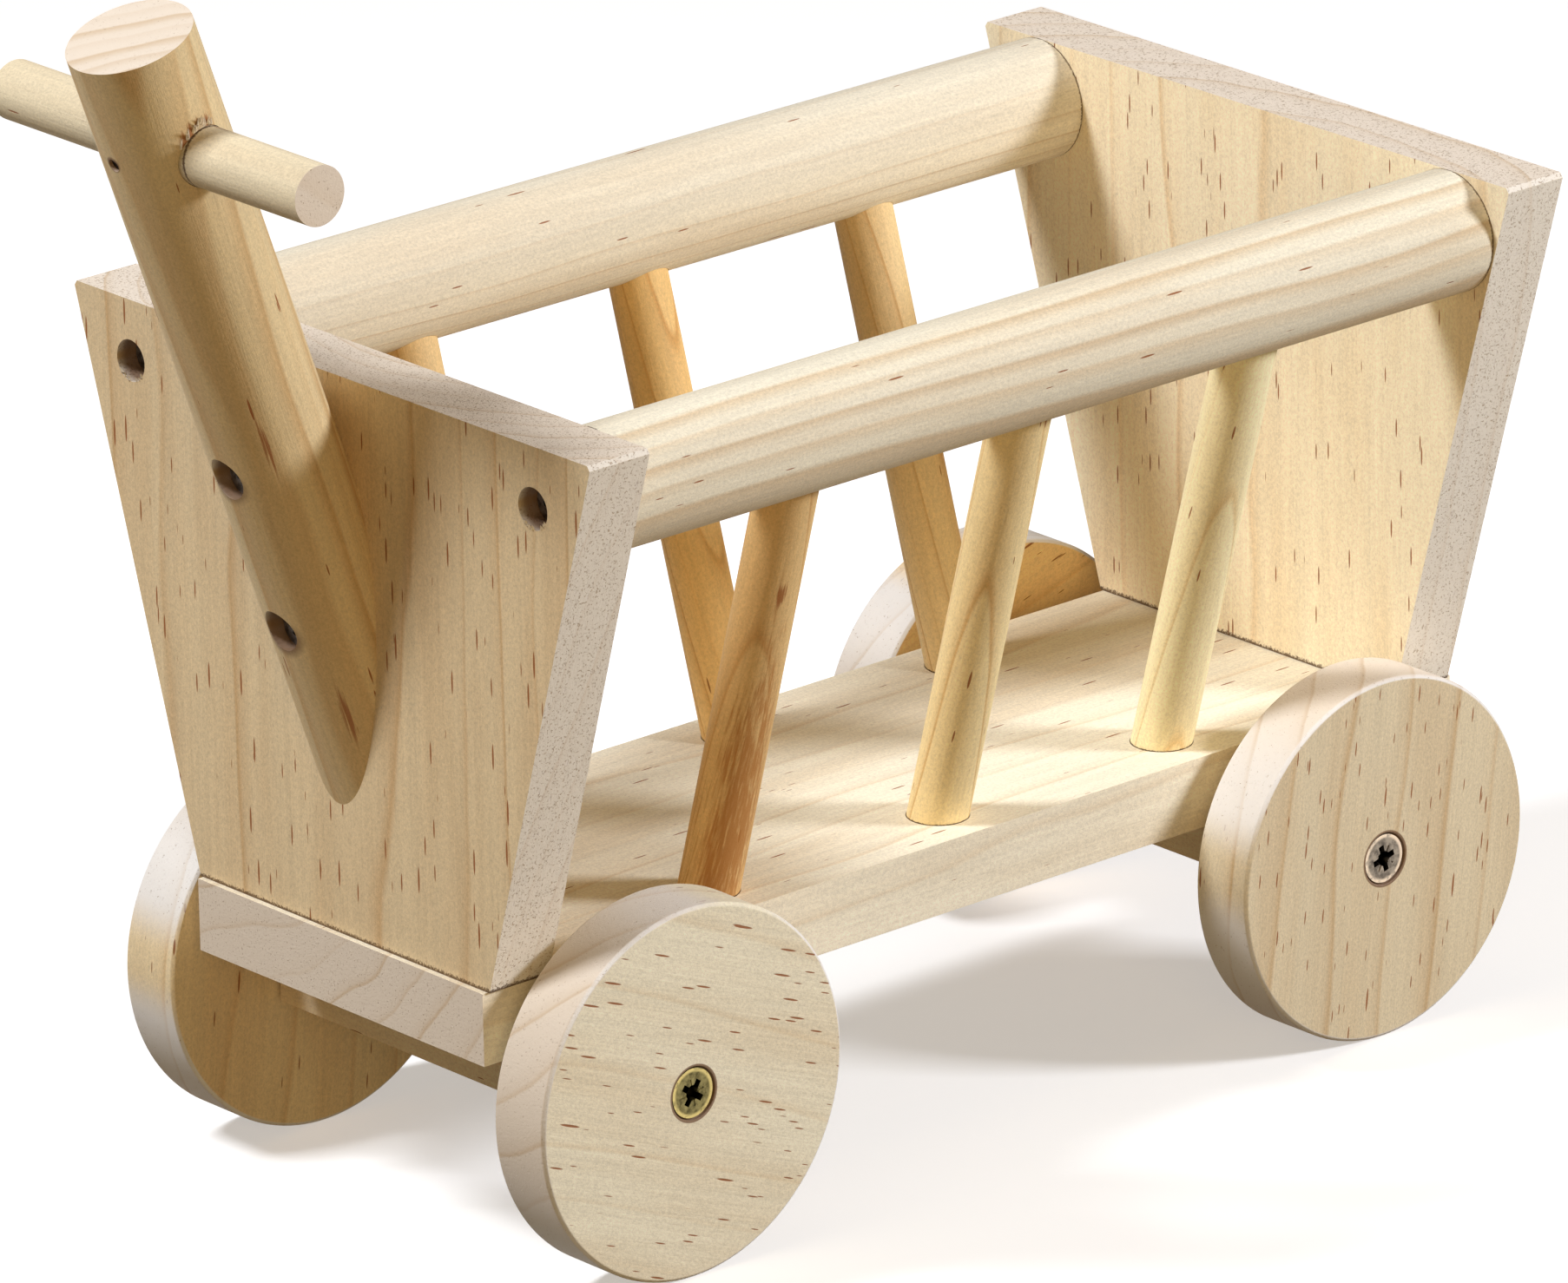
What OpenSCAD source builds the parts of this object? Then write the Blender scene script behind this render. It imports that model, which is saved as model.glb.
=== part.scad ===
// Small slatted hay cart in plain pine, with a leaning drawbar and four free-rolling disc wheels.
// Millimetres, +Z up. The drawbar end faces -X, so the cart's left side is -Y.
// The origin lies on the ground under the middle of the cart's overall length and width.

/* [Floor] */
// Length of the floor board
floor_l = 201.6; // [180:0.1:240]
// Width of the floor board
floor_w = 68; // [64:1:76]
// Thickness of the floor board
floor_t = 11.8; // [10:0.1:15]

/* [End boards] */
// Thickness of each end board
board_t = 11.7; // [10:0.1:15]
// Height of each end board above the floor
board_h = 90.7; // [80:0.1:110]
// Width of an end board where it stands on the floor
board_foot_w = 69; // [66:1:76]
// Width of an end board across its top edge
board_top_w = 122; // [118:1:130]
// Distance from an end board's outer face to the end of the floor
board_setback = 1; // [0:0.1:4]

/* [Rails and slats] */
// Diameter of the two top rails
rail_d = 19.8; // [18:0.1:22]
// Distance from the middle of the cart to each rail's axis
rail_y = 47.5; // [46:0.1:49]
// Diameter of a slat
slat_d = 9.7; // [8:0.1:11]
// Distance between neighbouring slats
slat_pitch = 47.3; // [40:0.1:52]
// Distance from the middle of the cart to a slat's axis, at the floor's top face
slat_foot_y = 24.3; // [20:0.1:27]
// Length of slat let into the floor, and into the rail
slat_socket = 8; // [5:0.5:8]

/* [Wheels] */
// Diameter of a wheel
wheel_d = 60; // [54:1:70]
// Width of a wheel
wheel_w = 11.6; // [10:0.1:14]
// Distance between the outer faces of a left and a right wheel
wheel_span = 100.2; // [98:0.1:106]
// Distance between the front and rear wheel screws
wheelbase = 144.3; // [130:0.1:150]
// How far the wheels sit forward of the middle of the floor
wheel_lead = 0.9; // [0:0.1:3]
// Free gap between a wheel and the end of its batten
wheel_gap = 0.5; // [0.3:0.1:1.5]
// Width of an axle batten along the cart
batten_w = 18; // [14:0.5:24]
// Thickness of an axle batten
batten_t = 14.6; // [12:0.1:18]

/* [Drawbar] */
// Diameter of the drawbar
drawbar_d = 19.8; // [18:0.1:22]
// Lean of the drawbar away from the vertical, in degrees
drawbar_lean = 19.5; // [17:0.5:22]
// Height at which the drawbar's axis meets the front board
drawbar_z = 100; // [96:1:102]
// Length of the drawbar's axis above that point
drawbar_l = 106.5; // [100:0.5:130]
// Diameter of the crossbar
crossbar_d = 9.4; // [8:0.1:11]
// Length of the crossbar
crossbar_l = 71.5; // [60:0.5:90]
// Distance along the drawbar's axis from the front board to the crossbar
crossbar_at = 87.7; // [80:0.1:92]

/* [Fasteners] */
// Shank diameter of a wheel screw
axle_screw_d = 4; // [3.5:0.1:4.5]
// Head diameter of a wheel screw
axle_head_d = 8; // [7:0.1:9]
// Length of a wheel screw
axle_screw_l = 30; // [26:1:32]
// Shank diameter of the other screws
screw_d = 3.5; // [3:0.1:4]
// Head diameter of the other screws
head_d = 6.4; // [6:0.1:6.5]
// Diameter of a counterbored screw hole
counterbore_d = 6.7; // [6.6:0.1:8]
// Depth at which a counterbored screw head sits
counterbore_depth = 3.6; // [2:0.1:5]

/* [Hidden] */
$fn = 96;

// Sides and ends of the cart, and the places of the slats along it
LEFT = -1;
RIGHT = 1;
FRONT = -1;
MIDDLE = 0;
REAR = 1;

glue_gap = 0.1;          // round a glued dowel, on the radius
thread_gap = 0.05;       // round a screw in its hole, on the radius
run_gap = 0.08;          // between a wheel's bore and its screw, on the radius
head_gap = 0.3;          // between a wheel's countersink and its screw head
eps = 0.5;               // how far a cutter runs past the face it cuts
corner = 0.8;            // eased top corners of the end boards
wheel_ease = 0.5;        // eased rims of the wheels

// Heights, from the ground up
axle_z = wheel_d / 2;
floor_z = axle_z + batten_t / 2;
deck_z = floor_z + floor_t;
board_top_z = deck_z + board_h;
rail_z = board_top_z - rail_d / 2;

// The drawbar's ends set the front of the cart, and the rear wheels or the floor set its back
bay_l = floor_l - 2 * (board_setback + board_t);
face_from_mid = bay_l / 2 + board_t;
drawbar_front = face_from_mid + drawbar_l * sin(drawbar_lean)
    + drawbar_d / 2 * cos(drawbar_lean);
cart_rear = max(floor_l / 2, wheelbase / 2 - wheel_lead + wheel_d / 2);
floor_x = (drawbar_front - cart_rear) / 2;
front_face_x = floor_x - face_from_mid;

// Slats lean outwards from the floor to the rails
slat_run = rail_y - slat_foot_y;
slat_rise = rail_z - deck_z;
slat_lean = atan2(slat_run, slat_rise);
slat_reach = norm([slat_run, slat_rise]) - rail_d / 2 + slat_socket;

batten_l = wheel_span - 2 * (wheel_w + wheel_gap);

// Screws: length, place, and how the heads sit
rail_screw_l = 25;
drawbar_screws_at = [[127.5, 25], [101, 16]];   // height and length of each
board_screw_l = 30;
board_screw_y = 20;
batten_screw_l = 25;
batten_screw_y = 10;
axle_head_sink = 0.3;
axle_plain = wheel_w + wheel_gap + 1;
screw_plain = 5;

// The brad that pins the crossbar, and its place above the crossbar's axis
brad_d = 1.4;
brad_l = 16;
brad_head_d = 2;
brad_head_t = 0.8;
brad_sink = 0.6;
brad_offset = 2;

PINE = [0.90, 0.77, 0.56];
PINE_PALE = [0.93, 0.84, 0.68];
PINE_RED = [0.80, 0.60, 0.40];
ZINC = [0.72, 0.70, 0.64];
STEEL = [0.62, 0.62, 0.64];

// ---- fasteners ----

// Half outline of a countersunk wood screw, head at z = 0 and point downwards
function screw_outline(len, d, head, plain) =
    let (
        rim = 0.3,
        cone = (head - d) / 2,
        root = 0.35 * d,
        pitch = 0.45 * d,
        tip = 0.9 * d,
        turns = floor((len - plain - tip) / pitch)
    )
    concat(
        [[0, 0], [head / 2, 0], [head / 2, -rim], [d / 2, -rim - cone], [d / 2, -plain]],
        [for (i = [0 : turns - 1]) each [
            [root, -plain - (i + 0.35) * pitch],
            [d / 2, -plain - (i + 0.9) * pitch],
            [d / 2, -plain - (i + 1) * pitch]
        ]],
        [[root, tip - len], [0, -len]]
    );

// Cross recess with the four fine marks between its arms
module drive_recess(head) {
    arm = 0.56 * head;
    slot = 0.13 * head;
    depth = 0.22 * head;
    mark = 0.035 * head;
    for (turn = [0, 90])
        rotate(turn)
            cube([arm, slot, 2 * depth], center = true);
    for (turn = [45, 135])
        rotate(turn)
            cube([arm, mark, mark], center = true);
    translate([0, 0, -depth * 1.3])
        cylinder(d1 = slot, d2 = 0.34 * head, h = depth * 1.3 + mark);
}

// Countersunk wood screw with a plain shank of the given length, its cross turned as driven
module wood_screw(len, d, head, turn, plain = screw_plain) {
    difference() {
        rotate_extrude()
            polygon(screw_outline(len, d, head, plain));
        rotate(turn)
            drive_recess(head);
    }
}

// Space for a wood screw: shank, countersink and a round bore above the head
module screw_space(len, d, head, above, mouth) {
    cone = (head - d) / 2;
    translate([0, 0, -len])
        cylinder(d = d + 2 * thread_gap, h = len);
    translate([0, 0, -0.3 - cone])
        cylinder(d1 = d + 2 * thread_gap, d2 = head + 2 * thread_gap, h = cone);
    translate([0, 0, -0.3])
        cylinder(d = head + 2 * thread_gap, h = 0.3);
    cylinder(d = mouth, h = above);
}

// ---- where things go: each places its children, with +Z leaving the cart ----

module at_wheel(end, side) {
    translate([floor_x - wheel_lead + end * wheelbase / 2, side * wheel_span / 2, axle_z])
        rotate([-side * 90, 0, 0])
            children();
}

module at_axle_screw(end, side) {
    at_wheel(end, side)
        translate([0, 0, -axle_head_sink])
            children();
}

module at_rail_screw(end, side) {
    translate([floor_x + end * (face_from_mid - counterbore_depth), side * rail_y, rail_z])
        rotate([0, end * 90, 0])
            children();
}

module at_board_screw(end, side) {
    translate([floor_x + end * (bay_l + board_t) / 2, side * board_screw_y, floor_z])
        rotate([180, 0, 0])
            children();
}

module at_batten_screw(end, side) {
    translate([floor_x - wheel_lead + end * wheelbase / 2, side * batten_screw_y,
               axle_z - batten_t / 2])
        rotate([180, 0, 0])
            children();
}

// Screw number i through the drawbar, at the depth of its counterbore
module at_drawbar_screw(i) {
    z = drawbar_screws_at[i][0];
    skin_x = front_face_x - (z - drawbar_z) * tan(drawbar_lean)
        - drawbar_d / 2 / cos(drawbar_lean);
    translate([skin_x + counterbore_depth, 0, z])
        rotate([0, -90, 0])
            children();
}

// Along the drawbar: +Z runs up its axis from the front board, +X faces back
module on_drawbar() {
    translate([front_face_x, 0, drawbar_z])
        rotate([0, -drawbar_lean, 0])
            children();
}

module at_brad() {
    on_drawbar()
        translate([-drawbar_d / 2 + brad_sink, 0, crossbar_at + brad_offset])
            rotate([0, -90, 0])
                children();
}

// Along a slat: +Z runs up its axis from the floor's top face
module on_slat(place, side) {
    translate([floor_x + place * slat_pitch, side * slat_foot_y, deck_z])
        rotate([-side * slat_lean, 0, 0])
            children();
}

// ---- body ----

module floor_board() {
    color(PINE)
        difference() {
            translate([floor_x - floor_l / 2, -floor_w / 2, floor_z])
                cube([floor_l, floor_w, floor_t]);
            for (place = [FRONT, MIDDLE, REAR], side = [LEFT, RIGHT])
                on_slat(place, side)
                    slat_space();
            for (end = [FRONT, REAR], side = [LEFT, RIGHT]) {
                at_board_screw(end, side)
                    screw_space(board_screw_l, screw_d, head_d, eps, head_d + 2 * thread_gap);
                at_batten_screw(end, side)
                    screw_space(batten_screw_l, screw_d, head_d, eps, head_d);
            }
        }
}

// Trapezoid, wider at the top, standing on the floor
module board_blank(end) {
    foot = board_foot_w / 2;
    top = board_top_w / 2;
    flare = (top - foot) / board_h;
    translate([floor_x + end * (bay_l + board_t) / 2 - board_t / 2, 0, deck_z])
        rotate([90, 0, 90])
            linear_extrude(board_t)
                polygon([
                    [-foot, 0], [foot, 0],
                    [top - flare * corner, board_h - corner], [top - corner, board_h],
                    [corner - top, board_h], [flare * corner - top, board_h - corner]
                ]);
}

module end_board(end) {
    color(PINE_PALE)
        difference() {
            board_blank(end);
            for (side = [LEFT, RIGHT]) {
                at_rail_screw(end, side)
                    screw_space(rail_screw_l, screw_d, head_d, counterbore_depth + eps,
                                counterbore_d);
                at_board_screw(end, side)
                    screw_space(board_screw_l, screw_d, head_d, eps, head_d);
            }
            if (end == FRONT)
                drawbar_screw_spaces();
        }
}

module rail(side) {
    color(PINE)
        difference() {
            translate([floor_x - bay_l / 2, side * rail_y, rail_z])
                rotate([0, 90, 0])
                    cylinder(d = rail_d, h = bay_l);
            for (place = [FRONT, MIDDLE, REAR])
                on_slat(place, side)
                    slat_space();
            for (end = [FRONT, REAR])
                at_rail_screw(end, side)
                    screw_space(rail_screw_l, screw_d, head_d, eps, head_d);
        }
}

// A slat's socket in the floor and in the rail
module slat_space() {
    translate([0, 0, -slat_socket])
        cylinder(d = slat_d + 2 * glue_gap, h = slat_reach + slat_socket);
}

module slat(place, side) {
    color(PINE_RED)
        on_slat(place, side)
            translate([0, 0, -slat_socket])
                cylinder(d = slat_d, h = slat_reach + slat_socket);
}

module batten(end) {
    color(PINE)
        difference() {
            translate([floor_x - wheel_lead + end * wheelbase / 2, 0, axle_z])
                cube([batten_w, batten_l, batten_t], center = true);
            for (side = [LEFT, RIGHT]) {
                at_axle_screw(end, side)
                    screw_space(axle_screw_l, axle_screw_d, axle_head_d, eps, axle_head_d);
                at_batten_screw(end, side)
                    screw_space(batten_screw_l, screw_d, head_d, eps, head_d + 2 * thread_gap);
            }
        }
}

// ---- drawbar ----

module drawbar_screw_spaces() {
    for (i = [0 : len(drawbar_screws_at) - 1])
        at_drawbar_screw(i)
            screw_space(drawbar_screws_at[i][1], screw_d, head_d, counterbore_depth + 2,
                        counterbore_d);
}

module crossbar_blank(gap) {
    on_drawbar()
        translate([0, 0, crossbar_at])
            rotate([90, 0, 0])
                cylinder(d = crossbar_d + 2 * gap, h = crossbar_l, center = true);
}

module brad_space() {
    at_brad() {
        translate([0, 0, -brad_l])
            cylinder(d = brad_d + 2 * thread_gap, h = brad_l);
        translate([0, 0, -brad_head_t])
            cylinder(d = brad_head_d + 2 * thread_gap, h = brad_head_t + brad_sink + eps);
    }
}

// Dowel whose lower end is sliced to lie flat on the front board
module drawbar() {
    below = drawbar_d / 2 / tan(drawbar_lean) + 1;
    slice = 2 * drawbar_l;
    color(PINE)
        difference() {
            on_drawbar()
                translate([0, 0, -below])
                    cylinder(d = drawbar_d, h = drawbar_l + below);
            translate([front_face_x, -slice / 2, drawbar_z - slice / 2])
                cube(slice);
            crossbar_blank(glue_gap);
            brad_space();
            drawbar_screw_spaces();
        }
}

module crossbar() {
    color(PINE_PALE)
        difference() {
            crossbar_blank(0);
            brad_space();
        }
}

module crossbar_brad() {
    color(STEEL)
        at_brad() {
            translate([0, 0, -brad_l])
                cylinder(d = brad_d, h = brad_l);
            translate([0, 0, -brad_head_t])
                cylinder(d = brad_head_d, h = brad_head_t);
        }
}

// ---- wheels ----

// Disc with eased rims, a bore for the screw's shank and a countersink round its head
module wheel(end, side) {
    r = wheel_d / 2;
    cone = (axle_head_d - axle_screw_d) / 2;
    mouth_r = axle_head_d / 2 + head_gap;
    bore_r = axle_screw_d / 2 + run_gap;
    seat = axle_head_sink + 0.3;
    color(PINE_PALE)
        at_wheel(end, side)
            rotate_extrude()
                polygon([
                    [bore_r, -wheel_w], [r - wheel_ease, -wheel_w],
                    [r, wheel_ease - wheel_w], [r, -wheel_ease], [r - wheel_ease, 0],
                    [mouth_r, 0], [mouth_r, -seat],
                    [bore_r, -seat - (mouth_r - bore_r)]
                ]);
}

// Its shank is plain as far as the batten, and the wheel turns on it
module wheel_screw(end, side) {
    color(ZINC)
        at_axle_screw(end, side)
            wood_screw(axle_screw_l, axle_screw_d, axle_head_d, 35 + 20 * end * side, axle_plain);
}

// ---- screw groups ----

module drawbar_screws() {
    color(STEEL)
        for (i = [0 : len(drawbar_screws_at) - 1])
            at_drawbar_screw(i)
                wood_screw(drawbar_screws_at[i][1], screw_d, head_d, 25 + 40 * i);
}

module rail_screws(end) {
    color(STEEL)
        for (side = [LEFT, RIGHT])
            at_rail_screw(end, side)
                wood_screw(rail_screw_l, screw_d, head_d, 30 + 15 * side);
}

module board_screws(end) {
    color(STEEL)
        for (side = [LEFT, RIGHT])
            at_board_screw(end, side)
                wood_screw(board_screw_l, screw_d, head_d, 50 + 20 * side);
}

module batten_screws() {
    color(STEEL)
        for (end = [FRONT, REAR], side = [LEFT, RIGHT])
            at_batten_screw(end, side)
                wood_screw(batten_screw_l, screw_d, head_d, 15 + 30 * side);
}

floor_board();
end_board(FRONT);  // front_board
end_board(REAR);  // rear_board
rail(LEFT);  // rail_left
rail(RIGHT);  // rail_right
slat(FRONT, LEFT);  // slat_left_front
slat(MIDDLE, LEFT);  // slat_left_middle
slat(REAR, LEFT);  // slat_left_rear
slat(FRONT, RIGHT);  // slat_right_front
slat(MIDDLE, RIGHT);  // slat_right_middle
slat(REAR, RIGHT);  // slat_right_rear
batten(FRONT);  // front_batten
batten(REAR);  // rear_batten
drawbar();
crossbar();
crossbar_brad();
wheel(FRONT, LEFT);  // wheel_front_left
wheel(FRONT, RIGHT);  // wheel_front_right
wheel(REAR, LEFT);  // wheel_rear_left
wheel(REAR, RIGHT);  // wheel_rear_right
wheel_screw(FRONT, LEFT);  // wheel_screw_front_left
wheel_screw(FRONT, RIGHT);  // wheel_screw_front_right
wheel_screw(REAR, LEFT);  // wheel_screw_rear_left
wheel_screw(REAR, RIGHT);  // wheel_screw_rear_right
drawbar_screws();
rail_screws(FRONT);  // front_rail_screws
rail_screws(REAR);  // rear_rail_screws
board_screws(FRONT);  // front_board_screws
board_screws(REAR);  // rear_board_screws
batten_screws();
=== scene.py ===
"""Small slatted hay cart in raw pine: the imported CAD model, given real wood, screws, light and a camera."""
import math
import random

import bmesh
import bpy
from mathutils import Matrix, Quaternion, Vector


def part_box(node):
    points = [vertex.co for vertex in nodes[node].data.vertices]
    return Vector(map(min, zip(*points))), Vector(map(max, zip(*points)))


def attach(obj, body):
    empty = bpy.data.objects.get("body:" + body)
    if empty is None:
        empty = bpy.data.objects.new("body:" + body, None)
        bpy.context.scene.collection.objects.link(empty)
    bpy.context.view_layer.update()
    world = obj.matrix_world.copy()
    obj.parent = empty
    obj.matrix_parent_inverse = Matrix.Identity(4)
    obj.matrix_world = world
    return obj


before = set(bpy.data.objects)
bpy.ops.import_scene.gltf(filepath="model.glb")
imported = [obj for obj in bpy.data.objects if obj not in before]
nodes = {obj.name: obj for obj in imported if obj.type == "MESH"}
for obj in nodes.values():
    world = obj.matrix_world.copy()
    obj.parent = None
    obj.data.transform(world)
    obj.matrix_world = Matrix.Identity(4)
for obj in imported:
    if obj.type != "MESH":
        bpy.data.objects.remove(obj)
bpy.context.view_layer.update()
MM = 0.001

# ---- camera: a long lens, looking down on the front left corner ----
VIEW_AZIMUTH = -40.88
VIEW_ELEVATION = 19.93
VIEW_ROLL = -1.08
VIEW_DISTANCE = 2.237
VIEW_LENS = 332.3
VIEW_AIM = Vector((0.0015, -0.0119, 0.0796))

X, Y, Z = Vector((1, 0, 0)), Vector((0, 1, 0)), Vector((0, 0, 1))


def direction(azimuth, elevation):
    """Unit vector from the cart towards something at that azimuth and elevation, in degrees."""
    a, e = math.radians(azimuth), math.radians(elevation)
    return Vector((math.sin(a) * math.cos(e), -math.cos(a) * math.cos(e), math.sin(e)))


def make_camera():
    data = bpy.data.cameras.new("camera")
    data.lens = VIEW_LENS
    data.sensor_width = 36
    data.clip_start, data.clip_end = 0.1, 50
    camera = bpy.data.objects.new("camera", data)
    bpy.context.scene.collection.objects.link(camera)
    back = direction(VIEW_AZIMUTH, VIEW_ELEVATION)
    camera.location = VIEW_AIM + back * VIEW_DISTANCE
    camera.rotation_mode = "QUATERNION"
    look = (-back).to_track_quat("-Z", "Y")
    look.rotate(Quaternion(back, math.radians(VIEW_ROLL)))
    camera.rotation_quaternion = look
    bpy.context.scene.camera = camera


# ---- light and floor ----
def softbox(name, azimuth, elevation, distance, size, watts, colour):
    data = bpy.data.lights.new(name, "AREA")
    data.shape = "SQUARE"
    data.size = size
    data.energy = watts
    data.color = colour
    lamp = bpy.data.objects.new(name, data)
    bpy.context.scene.collection.objects.link(lamp)
    away = direction(azimuth, elevation)
    lamp.location = Vector((0, 0, 0.08)) + away * distance
    lamp.rotation_mode = "QUATERNION"
    lamp.rotation_quaternion = away.to_track_quat("Z", "Y")


def make_light():
    """Two key softboxes, one behind each shoulder of the cart, and a weak warm fill by the camera."""
    world = bpy.data.worlds.new("studio")
    bpy.context.scene.world = world
    world.use_nodes = True
    sky = world.node_tree.nodes["Background"]
    sky.inputs["Color"].default_value = (1.0, 0.74, 0.44, 1)
    sky.inputs["Strength"].default_value = 0.12
    softbox("left", -119, 50, 1.3, 0.27, 13.0, (0.97, 1.0, 1.06))
    softbox("right", 38, 28, 1.3, 0.25, 11.9, (0.97, 1.0, 1.08))
    softbox("front", -32, 16, 2.4, 1.0, 9.8, (1.0, 0.73, 0.37))
    bpy.context.scene.view_settings.view_transform = "Standard"


def make_floor():
    """White paper; the cart's shading is set by the lights, so the paper throws none back on it."""
    bpy.ops.mesh.primitive_plane_add(size=30)
    floor = bpy.context.object
    floor.name = "studio_floor"
    floor.visible_diffuse = False
    g = Graph("studio_paper")
    cloud = g.noise(g.place(scale=2.0), scale=1.5, detail=2)
    g.shader(colour=g.blend(cloud, (0.90, 0.90, 0.895), (0.94, 0.94, 0.935)), roughness=0.9,
             Emission_Color=(1, 1, 1, 1), Emission_Strength=0.4)
    floor.data.materials.append(g.material)


# ---- node graphs ----
class Graph:
    """A material being made: each method adds a node and returns its output socket."""

    def __init__(self, name):
        self.material = bpy.data.materials.new(name)
        self.material.use_nodes = True
        self.tree = self.material.node_tree
        self.bsdf = self.tree.nodes["Principled BSDF"]

    def add(self, kind, values=(), **settings):
        node = self.tree.nodes.new(kind)
        for key, value in settings.items():
            setattr(node, key, value)
        for slot, value in enumerate(values):
            self.put(node.inputs[slot], value)
        return node

    def put(self, socket, value):
        if isinstance(value, bpy.types.NodeSocket):
            self.tree.links.new(value, socket)
        elif value is not None:
            if socket.type == "RGBA" and len(value) == 3:
                value = (*value, 1)
            socket.default_value = value

    def math(self, operation, a, b=None, c=None, clamp=False):
        return self.add("ShaderNodeMath", (a, b, c), operation=operation, use_clamp=clamp).outputs[0]

    def vector(self, operation, a, b=None, scale=None):
        node = self.add("ShaderNodeVectorMath", (a, b), operation=operation)
        if scale is not None:
            self.put(node.inputs["Scale"], scale)
        scalar = operation in ("DOT_PRODUCT", "LENGTH", "DISTANCE")
        return node.outputs["Value" if scalar else "Vector"]

    def place(self, scale=1000.0):
        """The point on the piece, in its own space, in millimetres."""
        here = self.add("ShaderNodeTexCoord").outputs["Object"]
        return self.vector("SCALE", here, scale=scale)

    def facing(self):
        return self.add("ShaderNodeTexCoord").outputs["Normal"]

    def combine(self, x, y, z):
        return self.add("ShaderNodeCombineXYZ", (x, y, z)).outputs[0]

    def noise(self, at, scale=1.0, detail=3.0, roughness=0.5):
        node = self.add("ShaderNodeTexNoise")
        self.put(node.inputs["Vector"], at)
        self.put(node.inputs["Scale"], scale)
        self.put(node.inputs["Detail"], detail)
        self.put(node.inputs["Roughness"], roughness)
        return node.outputs["Fac"]

    def cells(self, at):
        node = self.add("ShaderNodeTexVoronoi")
        self.put(node.inputs["Vector"], at)
        self.put(node.inputs["Scale"], 1.0)
        return node.outputs["Distance"], node.outputs["Color"]

    def step(self, value, low, high):
        """0 below low, 1 above high, and smooth between."""
        node = self.add("ShaderNodeMapRange", interpolation_type="SMOOTHSTEP")
        for slot, v in (("Value", value), ("From Min", low), ("From Max", high)):
            self.put(node.inputs[slot], v)
        return node.outputs["Result"]

    def below(self, value, low, high):
        """1 below low, 0 above high, and smooth between."""
        return self.math("SUBTRACT", 1.0, self.step(value, low, high))

    def swing(self, value, size, about=1.0):
        """A noise that averages 0.5, turned into one that averages about and spreads by size."""
        return self.math("MULTIPLY_ADD", value, size, about - size / 2)

    def ramp(self, value, *stops):
        """Number that runs through (place, value) stops."""
        node = self.add("ShaderNodeValToRGB", (value,))
        points = node.color_ramp.elements
        while len(points) < len(stops):
            points.new(0.5)
        for point, (at, level) in zip(points, stops):
            point.position = at
            point.color = (level, level, level, 1)
        return node.outputs["Color"]

    def blend(self, amount, a, b, mode="MIX"):
        node = self.add("ShaderNodeMix", data_type="RGBA", blend_type=mode)
        self.put(node.inputs["Factor"], amount)
        self.put(node.inputs[6], a)
        self.put(node.inputs[7], b)
        return node.outputs[2]

    def bump(self, height, distance, strength=1.0, under=None):
        node = self.add("ShaderNodeBump")
        self.put(node.inputs["Height"], height)
        self.put(node.inputs["Distance"], distance)
        self.put(node.inputs["Strength"], strength)
        if under is not None:
            self.put(node.inputs["Normal"], under)
        return node.outputs["Normal"]

    def shader(self, colour=None, roughness=None, normal=None, metallic=None, **fixed):
        for slot, value in (("Base Color", colour), ("Roughness", roughness),
                            ("Normal", normal), ("Metallic", metallic)):
            if value is not None:
                self.put(self.bsdf.inputs[slot], value)
        for slot, value in fixed.items():
            self.bsdf.inputs[slot.replace("_", " ")].default_value = value
        return self.material


# ---- pine ----
# faces along the grain: early wood, late wood, resin canals, and painted shade in the joints
CREAM = (0.83, 0.735, 0.55)
TAN = (0.58, 0.37, 0.17)
RESIN = (0.31, 0.085, 0.010)
JOINT_SHADE = (0.10, 0.05, 0.02)
# faces across the grain: slanted, square on, late wood, a wheel's tread, and pits
CUT = (0.95, 0.89, 0.79)
CUT_END = (0.87, 0.76, 0.63)
CUT_BAND = (0.70, 0.53, 0.35)
PALE_CUT = (0.97, 0.94, 0.90)
PORE = (0.44, 0.30, 0.17)
# painted shade for the walls of holes, and the kinds of flaw as (colour, strength), both also used as painted
# shade
HOLE_SHADE = (0.20, 0.10, 0.045)
STREAK_AND_SHADE = (RESIN, 0.8)
HEART_AND_SHADE = ((0.50, 0.21, 0.05), 0.85)
# how dark one year's ring is, from its inside to its outside
CRISP = ((0.0, 0.0), (0.60, 0.04), (0.86, 0.28), (0.95, 1.0), (1.0, 0.0))
SOFT = ((0.0, 0.0), (0.35, 0.10), (0.70, 0.75), (0.85, 1.0), (1.0, 0.0))
# how much each texture changes the wood's tone
FIBRE_TONE, STREAK_TONE, FUZZ_TONE = 0.24, 0.20, 0.72
# the relief of each texture, as (height in metres, strength)
FIBRE_RELIEF, FUZZ_RELIEF = (0.00012, 0.5), (0.00012, 0.4)
PIT_RELIEF, RESIN_RELIEF = (0.00018, 0.6), (0.00006, 0.6)

# ---- sizes in millimetres that the frame's boxes don't give ----
HEAD = 6.4                       # diameter of the sunk screws' heads
SUNK_SHADE = (3.7, 1.5)           # reach and fade of the painted shade round a sunk head
WHEEL_GAP_SHADE = (0.6, 0.2)           # reach past the head's rim, and fade, of the painted shade in the gap round a wheel's screw
BRAD_HOLE_SHADE = (1.1, 0.5)           # reach and fade of the painted shade in the brad's hole
# widths of the lines of painted shade in the joints
BOARD_SEAM, DOWEL_SEAM, SLAT_SEAM = 0.8, 0.4, 0.22
BORE_PLAY = 0.1                  # gap between the crossbar and its hole
EASE = 0.16                      # width of a sanded edge


def tinted(colour, tint):
    return tuple(c * t for c, t in zip(colour, tint))


def grain_frame(along):
    """Three unit vectors: two across the grain and one along it."""
    along = along.normalized()
    side = along.cross(Z if abs(along.z) < 0.9 else X).normalized()
    return side, along.cross(side), along


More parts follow.
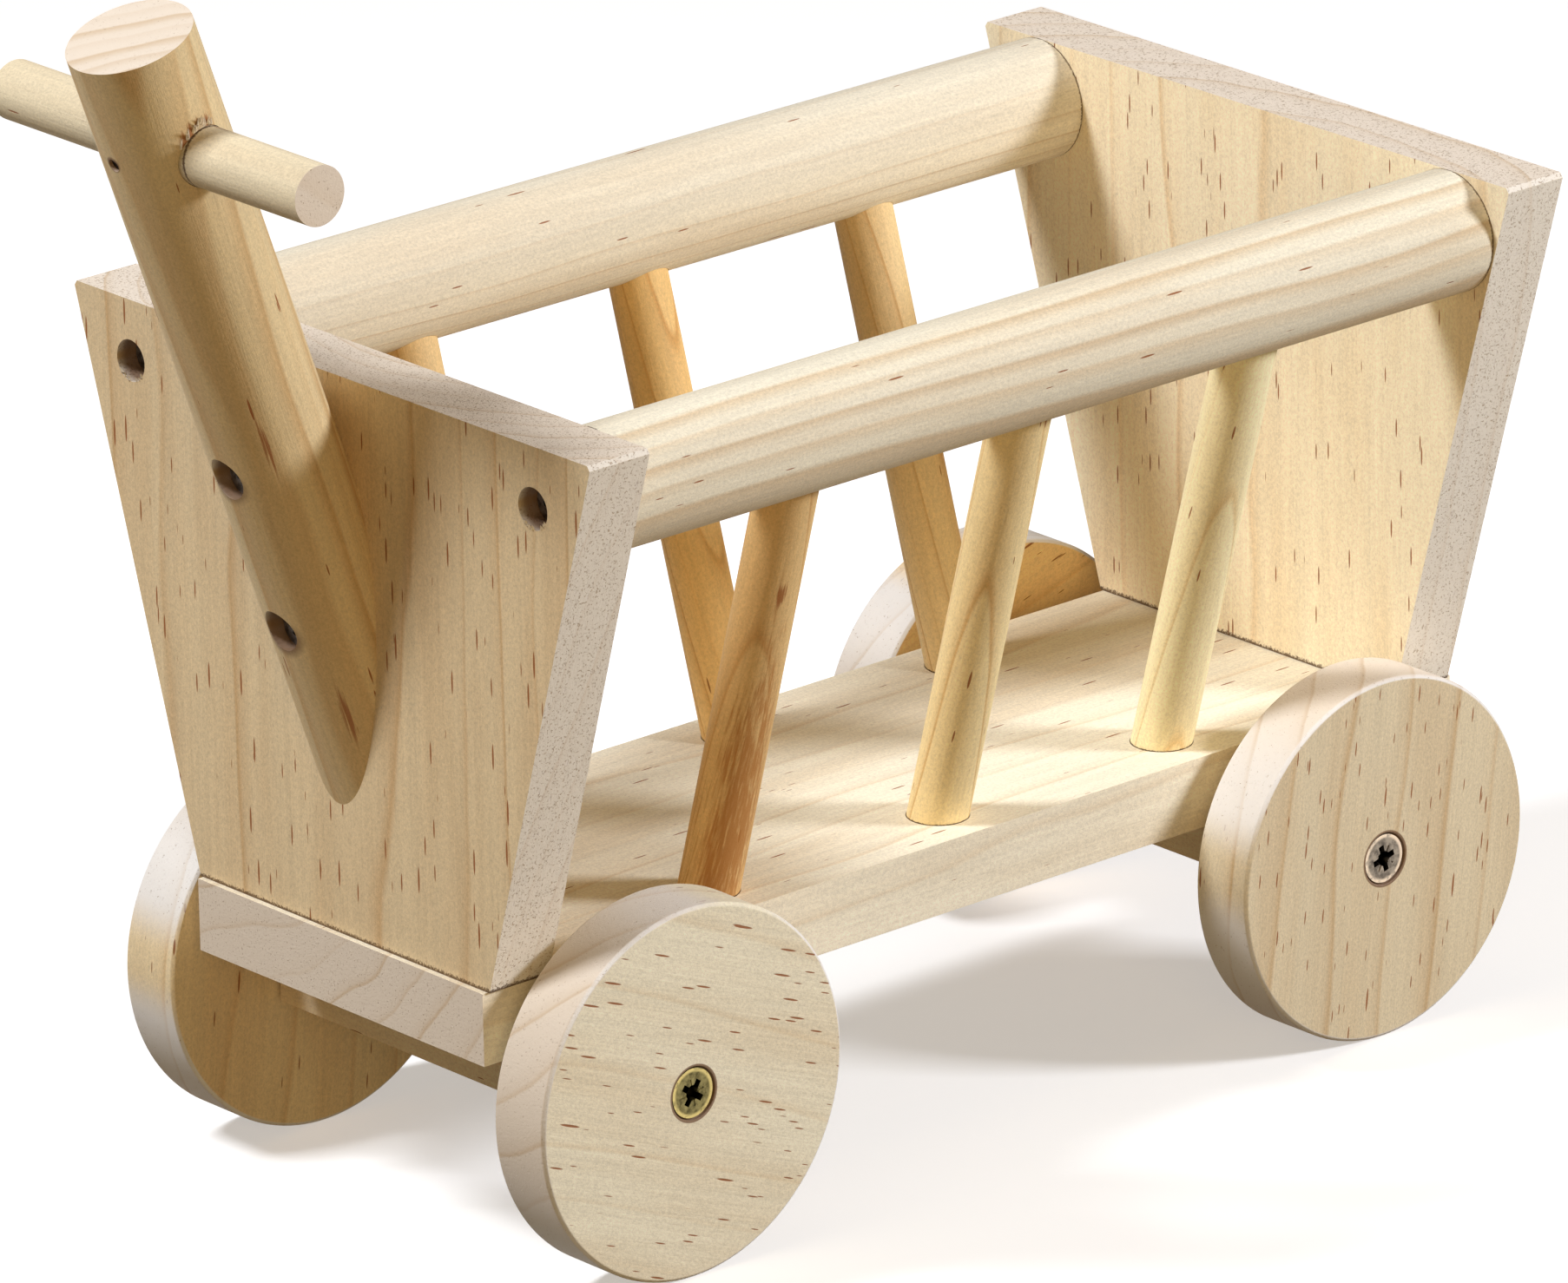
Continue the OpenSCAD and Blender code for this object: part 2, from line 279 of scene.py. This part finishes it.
def pine(name, along, pith, tint=(1, 1, 1), ring=4.5, rings=0.6, line=CRISP, wander=14,
         canals=0.5, canal=(1.5, 15), seams=(), flaws=(), bores=(), cut=CUT, pits=0.44, seed=0):
    """Sawn pine that grew along a direction, round a pith line that goes through a point.

    Lengths are in millimetres. The rings, fibres and resin canals fill the solid, so every cut face
    shows what it would: long lines on the sides, and bands and specks on the ends. Ring is a year's
    width, rings how strongly the years show, line how dark each is, and wander how far they stray.
    Canal is (across, length) of the resin canals and canals the share of places that have one. Seams are
    (axis, level, width) lines of painted shade where the piece meets its neighbour, flaws are
    (place, across, length, kind) streaks in another colour, some of them painted shade, and bores are
    (place, radius, fade) of holes whose walls and rims get painted shade.
    Cut is the colour of a face across the grain, and more pits make it coarser.
    """
    g = Graph(name)
    side, up, along = grain_frame(along)
    pale, late = tinted(CREAM, tint), tinted(TAN, tint)
    here = g.place()
    spot = g.vector("ADD", here, tuple(v * seed for v in (13.7, 7.3, 29.1)))
    su, sv, sw = (g.vector("DOT_PRODUCT", spot, tuple(axis)) for axis in (side, up, along))

    def stretched(across, length):
        """Coordinates in units of across and length."""
        return g.combine(g.math("DIVIDE", su, across), g.math("DIVIDE", sv, across),
                         g.math("DIVIDE", sw, length))

    def from_point(at):
        off = g.vector("SUBTRACT", here, tuple(at))
        return tuple(g.vector("DOT_PRODUCT", off, tuple(axis)) for axis in (side, up, along))

    # growth rings, wandering slowly along the board
    u, v, _ = from_point(pith)
    radius = g.vector("LENGTH", g.combine(u, v, 0.0))
    bent = g.math("ADD", radius, g.swing(g.noise(stretched(45, 140), detail=2), wander, 0))
    bent = g.math("ADD", bent, g.swing(g.noise(stretched(6, 50), detail=2), 1.0, 0))
    years = g.math("DIVIDE", bent, ring)
    luck = g.add("ShaderNodeTexWhiteNoise", noise_dimensions="1D")
    g.put(luck.inputs["W"], g.math("FLOOR", years))
    strength = g.math("MULTIPLY_ADD", g.step(luck.outputs["Value"], 0.0, 0.9), 0.75, 0.25)
    late_wood = g.math("MULTIPLY", g.ramp(g.math("FRACT", years), *line), strength)

    # fibres, long faint streaks, sanding fuzz and soft stains
    fibre = g.noise(stretched(0.5, 14), detail=5, roughness=0.65)
    streak = g.noise(stretched(1.5, 90), detail=3, roughness=0.6)
    fuzz = g.noise(stretched(0.42, 0.55), detail=3, roughness=0.8)
    stain = g.step(g.noise(stretched(9, 70), detail=3), 0.40, 0.72)

    def dashes(across, length, share):
        """Short marks along the grain: one in each cell that is picked."""
        far, kind = g.cells(stretched(across, length))
        pick = g.add("ShaderNodeSeparateColor", (kind,))
        width = g.math("MULTIPLY_ADD", pick.outputs[1], 0.10, 0.085)
        mark = g.below(far, g.math("MULTIPLY", width, 0.75), width)
        return g.math("MULTIPLY", mark, g.math("LESS_THAN", pick.outputs[0], share))

    across, length = canal
    resin = g.math("MAXIMUM", dashes(across, length, canals),
                   dashes(across * 0.75, length * 0.7, canals * 0.7))

    colour = g.blend(g.math("MULTIPLY", late_wood, rings), pale, late)
    colour = g.blend(g.math("MULTIPLY", stain, 0.22), colour, late)
    tone = g.math("MULTIPLY", g.swing(fibre, FIBRE_TONE), g.swing(streak, STREAK_TONE))
    tone = g.math("MULTIPLY", tone, g.swing(fuzz, FUZZ_TONE))
    colour = g.blend(1.0, colour, g.combine(tone, tone, tone), "MULTIPLY")
    colour = g.blend(g.math("MULTIPLY", resin, 0.9), colour, RESIN)

    # faces that cut across the grain are paler, greyer and pitted
    across_grain = g.math("ABSOLUTE", g.vector("DOT_PRODUCT", g.facing(), tuple(along)))
    end = g.step(across_grain, 0.06, 0.34)
    pores = g.noise(spot, scale=2.6, detail=3, roughness=0.7)
    pit = g.below(pores, pits - 0.09, pits)
    square = g.step(across_grain, 0.5, 0.95)
    ends = g.blend(square, cut, CUT_END)
    banded = g.math("MULTIPLY", late_wood, g.math("MULTIPLY_ADD", square, 0.6, 0.25))
    ends = g.blend(banded, ends, CUT_BAND)
    ends = g.blend(g.math("MULTIPLY", pit, 0.75), ends, PORE)
    colour = g.blend(end, colour, ends)

    # streaks in another colour; the torn-edge ones and the front slat's heartwood patch are painted shade
    for at, wide, long, (shade, most) in flaws:
        a, b, c = from_point(at)
        reach = g.vector("LENGTH", g.combine(g.math("DIVIDE", a, wide), g.math("DIVIDE", b, wide),
                                             g.math("DIVIDE", c, long)))
        frayed = g.math("ADD", reach, g.swing(fibre, 2.2, 0))
        colour = g.blend(g.math("MULTIPLY", g.below(frayed, 0.45, 1.0), most), colour, shade)
    # painted shade on the walls of holes and round screw heads
    for at, wide, fade in bores:
        reach = g.vector("LENGTH", g.vector("SUBTRACT", here, tuple(at)))
        colour = g.blend(g.math("MULTIPLY", g.below(reach, wide, wide + fade), 0.88), colour, HOLE_SHADE)
    # painted shade in the joints
    for axis, level, wide in seams:
        off = g.math("ABSOLUTE", g.math("SUBTRACT", g.vector("DOT_PRODUCT", here, tuple(axis)), level))
        ragged = g.math("ADD", off, g.swing(pores, 2.4 * wide, 0))
        colour = g.blend(g.math("MULTIPLY", g.below(ragged, wide * 0.3, wide), 0.9), colour, JOINT_SHADE)

    normal = g.bump(fibre, *FIBRE_RELIEF)
    normal = g.bump(fuzz, *FUZZ_RELIEF, under=normal)
    normal = g.bump(g.math("MULTIPLY", pit, g.math("MULTIPLY", end, -1.0)), *PIT_RELIEF, under=normal)
    normal = g.bump(g.math("MULTIPLY", resin, -1.0), *RESIN_RELIEF, under=normal)
    roughness = g.swing(fibre, 0.18, 0.64)
    return g.shader(colour=colour, roughness=roughness, normal=normal, Specular_IOR_Level=0.25)


# ---- metal ----
def plated(name, bright, dull, face=None, rim=None):
    """Zinc plating, slightly mottled, with painted shade below a face given as (axis, level in millimetres).

    The rim, given as (middle, radius), gets a patchy painted highlight.
    """
    g = Graph(name)
    here = g.place()
    mottle = g.noise(here, scale=0.9, detail=4, roughness=0.6)
    scratch = g.noise(g.vector("MULTIPLY", here, (0.6, 6.0, 6.0)), scale=1.0, detail=3)
    colour = g.blend(g.step(mottle, 0.35, 0.7), bright, dull)
    if face:
        axis, level = face
        depth = g.math("SUBTRACT", level, g.vector("DOT_PRODUCT", here, tuple(axis)))
        # painted shade on the screw below the face
        colour = g.blend(g.step(depth, 0.1, 1.2), colour, tinted(dull, (0.12, 0.11, 0.10)))
    if rim:
        middle, radius = rim
        edge = g.vector("LENGTH", g.vector("SUBTRACT", here, tuple(middle)))
        # patchy painted highlight on the rim
        rim_highlight = g.math("MULTIPLY", g.step(edge, radius * 0.80, radius * 0.93), g.step(mottle, 0.3, 0.5))
        colour = g.blend(rim_highlight, colour, tinted(bright, (2.4, 2.3, 2.2)))
    rough = g.swing(scratch, 0.25, 0.36)
    return g.shader(colour=colour, roughness=rough, metallic=1.0,
                    normal=g.bump(mottle, 0.00005, 0.4))


def close_seams(piece):
    """Joins the points that meet, so that no face is loose or has no area."""
    weld = piece.modifiers.new("weld", "WELD")
    weld.merge_threshold = 1e-6


def soften(piece):
    """Eases the sharp edges that sandpaper would."""
    bevel = piece.modifiers.new("ease", "BEVEL")
    bevel.width = EASE * MM
    bevel.segments = 2
    bevel.limit_method = "ANGLE"
    bevel.angle_limit = math.radians(35)
    bevel.miter_outer = "MITER_ARC"
    even = piece.modifiers.new("even", "WEIGHTED_NORMAL")
    even.keep_sharp = True


def paint(name, material):
    piece = nodes[name]
    piece.data.materials.clear()
    piece.data.materials.append(material)


def corners(name):
    """Low and high corners of a CAD node, in millimetres."""
    return tuple(Vector(corner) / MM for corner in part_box(name))


def within(name, *share):
    """The point that far through a CAD node's box, in millimetres."""
    low, high = corners(name)
    return Vector(a + (b - a) * s for a, b, s in zip(low, high, share))


def pair_of_heads(name, x):
    """Middles of the two screw heads at that x that hold a pair of rails."""
    low, high = corners(name)
    height = (low.z + high.z) / 2
    return [Vector((x, y, height)) for y in (low.y + HEAD / 2, high.y - HEAD / 2)]


def sunk(heads):
    """Painted shade in the counterbores over those screw heads."""
    return tuple((head, *SUNK_SHADE) for head in heads)


def wood(name, along, pith, **looks):
    """Paints a node with pine; pith is an offset from the middle of its box, in millimetres."""
    paint(name, pine(f"pine_{name}", along, within(name, 0.5, 0.5, 0.5) + Vector(pith), **looks))


def crossbar_hole():
    """The hole through the drawbar: its middle, the drawbar's direction, and both their radii."""
    low, high = corners("drawbar")
    bar = Vector((low.x - high.x, 0, high.z - low.z)).normalized()
    dowel_low, dowel_high = corners("crossbar")
    bore = (dowel_high.z - dowel_low.z) / 2 + BORE_PLAY
    return within("crossbar", 0.5, 0.5, 0.5), bar, (high.y - low.y) / 2, bore


def torn_edge(out, turns):
    """Points on the drawbar round the crossbar's hole, at those turns from the drawbar's direction."""
    hole, bar, radius, bore = crossbar_hole()
    across = out.cross(bar)
    places = []
    for turn in turns:
        aside = bore * math.sin(math.radians(turn))
        places.append(hole + bar * bore * math.cos(math.radians(turn)) + across * aside
                      + out * math.sqrt(radius ** 2 - aside ** 2))
    return places


def make_pine():
    deck = corners("floor_board")[1].z
    foot, slat_foot = ((Z, deck, BOARD_SEAM),), ((Z, deck, SLAT_SEAM),)
    wood("floor_board", X, (0, 60, 75), tint=(1.17, 1.22, 1.30), ring=7, rings=0.4,
         canals=0.18, canal=(1.2, 11), pits=0.41, seed=1)
    wood("front_board", Z, (60, 5, 0), tint=(1.02, 0.92, 0.77), ring=5, canals=0.65, seams=foot, seed=2,
         bores=sunk(pair_of_heads("front_rail_screws", corners("front_rail_screws")[0].x)))
    wood("rear_board", Z, (-70, -25, 0), tint=(1.22, 1.22, 1.18), ring=7, canals=0.6, seams=foot, seed=3,
         bores=sunk(pair_of_heads("rear_rail_screws", corners("rear_rail_screws")[1].x)))
    for side, pith, tint in (("left", (0, -42, -42), (1.08, 1.13, 1.20)),
                             ("right", (0, 12, -22), (1.03, 1.06, 1.12))):
        low, high = corners(f"rail_{side}")
        ring, line = (3.6, SOFT) if side == "left" else (2.6, CRISP)
        wood(f"rail_{side}", X, pith, tint=tint, ring=ring, line=line, canals=0.12, wander=8,
             seams=((X, low.x, DOWEL_SEAM), (X, high.x, DOWEL_SEAM)), seed=4 + (side == "right"))
    # a dark heartwood patch over the front slat's shaded side: painted shade
    heartwood_shade = (within("slat_left_front", 0.20, 0.40, 0.30), 8.0, 52, HEART_AND_SHADE)
    knot = (within("slat_left_front", 0.35, 0.20, 0.70), 1.0, 2.6, STREAK_AND_SHADE)
    vein = (within("slat_left_middle", 0.30, 0.15, 0.55), 2.6, 44, HEART_AND_SHADE)
    # the tints are partly the wood's own colour and partly painted shade: the near front slat and the
    # far-side slats are darker and warmer as painted shade
    slat_looks = {
        "left_front": ((0.96, 0.74, 0.44), (heartwood_shade, knot)),
        "left_middle": ((1.15, 1.05, 0.76), (vein,)),
        "left_rear": ((1.25, 1.27, 1.06), ()),
        "right_front": ((1.03, 0.82, 0.52), ()),
        "right_middle": ((1.13, 0.86, 0.47), ()),
        "right_rear": ((1.08, 0.92, 0.64), ()),
    }
    for k, (place, (tint, flaws)) in enumerate(slat_looks.items()):
        name = f"slat_{place}"
        low, high = corners(name)
        lean = Vector((0, high.y - low.y, high.z - low.z)) if "right" in place \
            else Vector((0, low.y - high.y, high.z - low.z))
        wood(name, lean, (18 - 6 * k, 16, 0), tint=tint, ring=3.4, rings=0.8, canals=0.08, wander=8,
             seams=slat_foot, flaws=flaws, seed=6 + k)
    low, high = corners("drawbar")
    bar = Vector((low.x - high.x, 0, high.z - low.z))
    heads_low, heads_high = corners("drawbar_screws")
    upper = Vector((heads_low.x, 0, heads_high.z - HEAD / 2))
    lower = upper - bar * ((heads_high.z - heads_low.z - HEAD) / bar.z)
    brad_low, _ = corners("crossbar_brad")
    brad = Vector((brad_low.x, 0, brad_low.z + 1))
    streaks = ((within("drawbar", 0.93, 0.18, 0.13), 0.9, 7, STREAK_AND_SHADE),
               (within("drawbar", 0.59, 0.11, 0.48), 0.7, 6, STREAK_AND_SHADE))
    # dark jagged notches round the crossbar's hole: painted shade in the torn crevices
    tear_shade = tuple((at, 0.8, 2.4, STREAK_AND_SHADE) for at in torn_edge(-Y, (-22, -2, 18, 37)))
    wood("drawbar", bar, (-40, -46, 0), tint=(0.96, 0.86, 0.66), ring=3.4, line=SOFT, canals=0.2, wander=10,
         pits=0.36, seed=13, bores=(*sunk((upper, lower)), (brad, *BRAD_HOLE_SHADE)), flaws=streaks + tear_shade)
    wood("crossbar", Y, (20, 0, 26), tint=(1.0, 0.98, 0.92), ring=7, rings=0.3, line=SOFT, canals=0.05,
         pits=0.38, seed=14, seams=((Y, low.y, DOWEL_SEAM), (Y, high.y, DOWEL_SEAM)))
    for k, place in enumerate(("front", "rear")):
        wood(f"{place}_batten", Y, (30, 0, 45), tint=(1.22, 1.16, 1.06), ring=5, canals=0.1,
             seed=15 + k)
    # the tints are partly the wood's own colour and partly painted light and shade: the front left wheel is
    # paler and bluer as painted light, the rear right one darker orange as painted shade
    wheel_looks = {
        "front_left": (Vector((1, 0, -0.39)), (1.16, 1.22, 1.27), 0.30, 1.0),
        "front_right": (Vector((0.1, 0, 1)), (1.12, 1.03, 0.87), 0.5, 0.8),
        "rear_left": (Vector((0.125, 0, 1)), (0.99, 0.96, 0.89), 0.7, 0.6),
        "rear_right": (Vector((1, 0, 0.3)), (1.20, 0.99, 0.64), 0.5, 0.6),
    }
    for k, (place, (along, tint, rings, canals)) in enumerate(wheel_looks.items()):
        side = along.cross(Y)
        low, high = corners(f"wheel_screw_{place}")
        rim = (high.x - low.x) / 2
        # middle of the screw head, round which the wheel gets painted shade
        head = Vector(((low.x + high.x) / 2, low.y if "left" in place else high.y, (low.z + high.z) / 2))
        wood(f"wheel_{place}", along, Vector((0, 45, 0)) + side * 50, tint=tint, ring=7.5, rings=rings,
             canals=canals, canal=(1.3, 13), bores=((head, rim + WHEEL_GAP_SHADE[0], WHEEL_GAP_SHADE[1]),),
             cut=PALE_CUT, pits=0.37, seed=20 + k)


def make_metal():
    silver = plated("zinc_bright", (0.42, 0.42, 0.42), (0.14, 0.14, 0.14))
    for name in nodes:
        if name.startswith("wheel_screw"):
            low, high = corners(name)
            # each wheel screw gets painted shade below its head's outer face and a painted highlight on its
            # rim
            face = (Y, high.y) if name.endswith("right") else (-Y, -low.y)
            shades = ((0.24, 0.20, 0.08), (0.08, 0.065, 0.025)) if "front" in name \
                else ((0.31, 0.26, 0.20), (0.11, 0.09, 0.07))
            middle = Vector(((low.x + high.x) / 2, face[1] * face[0].y, (low.z + high.z) / 2))
            paint(name, plated(f"zinc_{name}", *shades, face=face, rim=(middle, (high.x - low.x) / 2)))
        elif name.endswith("screws"):
            paint(name, silver)
    paint("crossbar_brad", plated("steel_rusty", (0.03, 0.02, 0.014), (0.012, 0.008, 0.006)))


# ---- torn fibres ----
CURL = 0.25                      # how far a fibre's tip curls out
ROOT = 0.12                      # how far its root is let into the wood


def spike(mesh, root, tip, out, width):
    """One torn fibre in millimetres: a three-sided spike that curls outwards and narrows to a point."""
    side = (tip - root).cross(out).normalized() * width / 2
    rings = []
    for k in range(4):
        t = k / 4
        middle = root.lerp(tip, t) + out * CURL * t * t
        slim = 1 - t ** 1.5
        rings.append([mesh.verts.new((middle + corner * slim) * MM)
                      for corner in (side, -side, out * width * 0.45)])
    point = mesh.verts.new((tip + out * CURL) * MM)
    mesh.faces.new(reversed(rings[0]))
    for a, b in zip(rings, rings[1:]):
        for i in range(3):
            j = (i + 1) % 3
            mesh.faces.new((a[i], a[j], b[j], b[i]))
    for i in range(3):
        mesh.faces.new((rings[-1][i], rings[-1][(i + 1) % 3], point))


def fray(mesh, draw, centre, out, grain, radius, arc, count, length, lift, round_face=None):
    """Torn fibres on part of a hole's rim, all pointing along the grain.

    The arc is in degrees from the grain's direction; round_face is the radius of a face that curves
    away to both sides of the grain.
    """
    across = out.cross(grain)
    for _ in range(count):
        turn = math.radians(draw.uniform(*arc))
        aside = radius * math.sin(turn)
        fall = math.sqrt(round_face ** 2 - aside ** 2) - round_face if round_face else 0
        root = centre + grain * radius * math.cos(turn) + across * aside + out * (fall - ROOT)
        size = length * draw.uniform(0.45, 1.0)
        curl, bend = lift * draw.uniform(0.6, 1.2), draw.uniform(-0.15, 0.15)
        tip = root + (grain + out * curl + across * bend) * size
        spike(mesh, root, tip, out, draw.uniform(0.45, 0.85))


def make_torn_fibres():
    """Where the drill and the dowel tore the wood: over the crossbar and on the counterbores' low lips."""
    draw = random.Random(4)
    mesh = bmesh.new()
    hole, bar, radius, bore = crossbar_hole()
    for out, arc in ((-Y, (-32, 52)), (Y, (-50, 32))):
        fray(mesh, draw, hole + out * radius, out, bar, bore + 0.1, arc,
             count=22, length=2.7, lift=0.42, round_face=radius)
    face = corners("front_board")[0].x
    for head in pair_of_heads("front_rail_screws", face):
        fray(mesh, draw, head, -X, Z, HEAD / 2 + 0.15, (135, 235), count=9, length=1.0, lift=0.15)
    bmesh.ops.recalc_face_normals(mesh, faces=mesh.faces)
    data = bpy.data.meshes.new("torn_fibres")
    mesh.to_mesh(data)
    mesh.free()
    piece = bpy.data.objects.new("torn_fibres", data)
    bpy.context.scene.collection.objects.link(piece)
    data.materials.append(pine("pine_torn_fibres", bar, (0, 0, 0), tint=(1.14, 1.10, 1.0),
                               canals=0, seed=30))
    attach(piece, "chassis")


make_camera()
make_light()
make_floor()
make_pine()
make_metal()
make_torn_fibres()
for name, piece in nodes.items():
    close_seams(piece)
    if "screw" not in name and "brad" not in name:
        soften(piece)
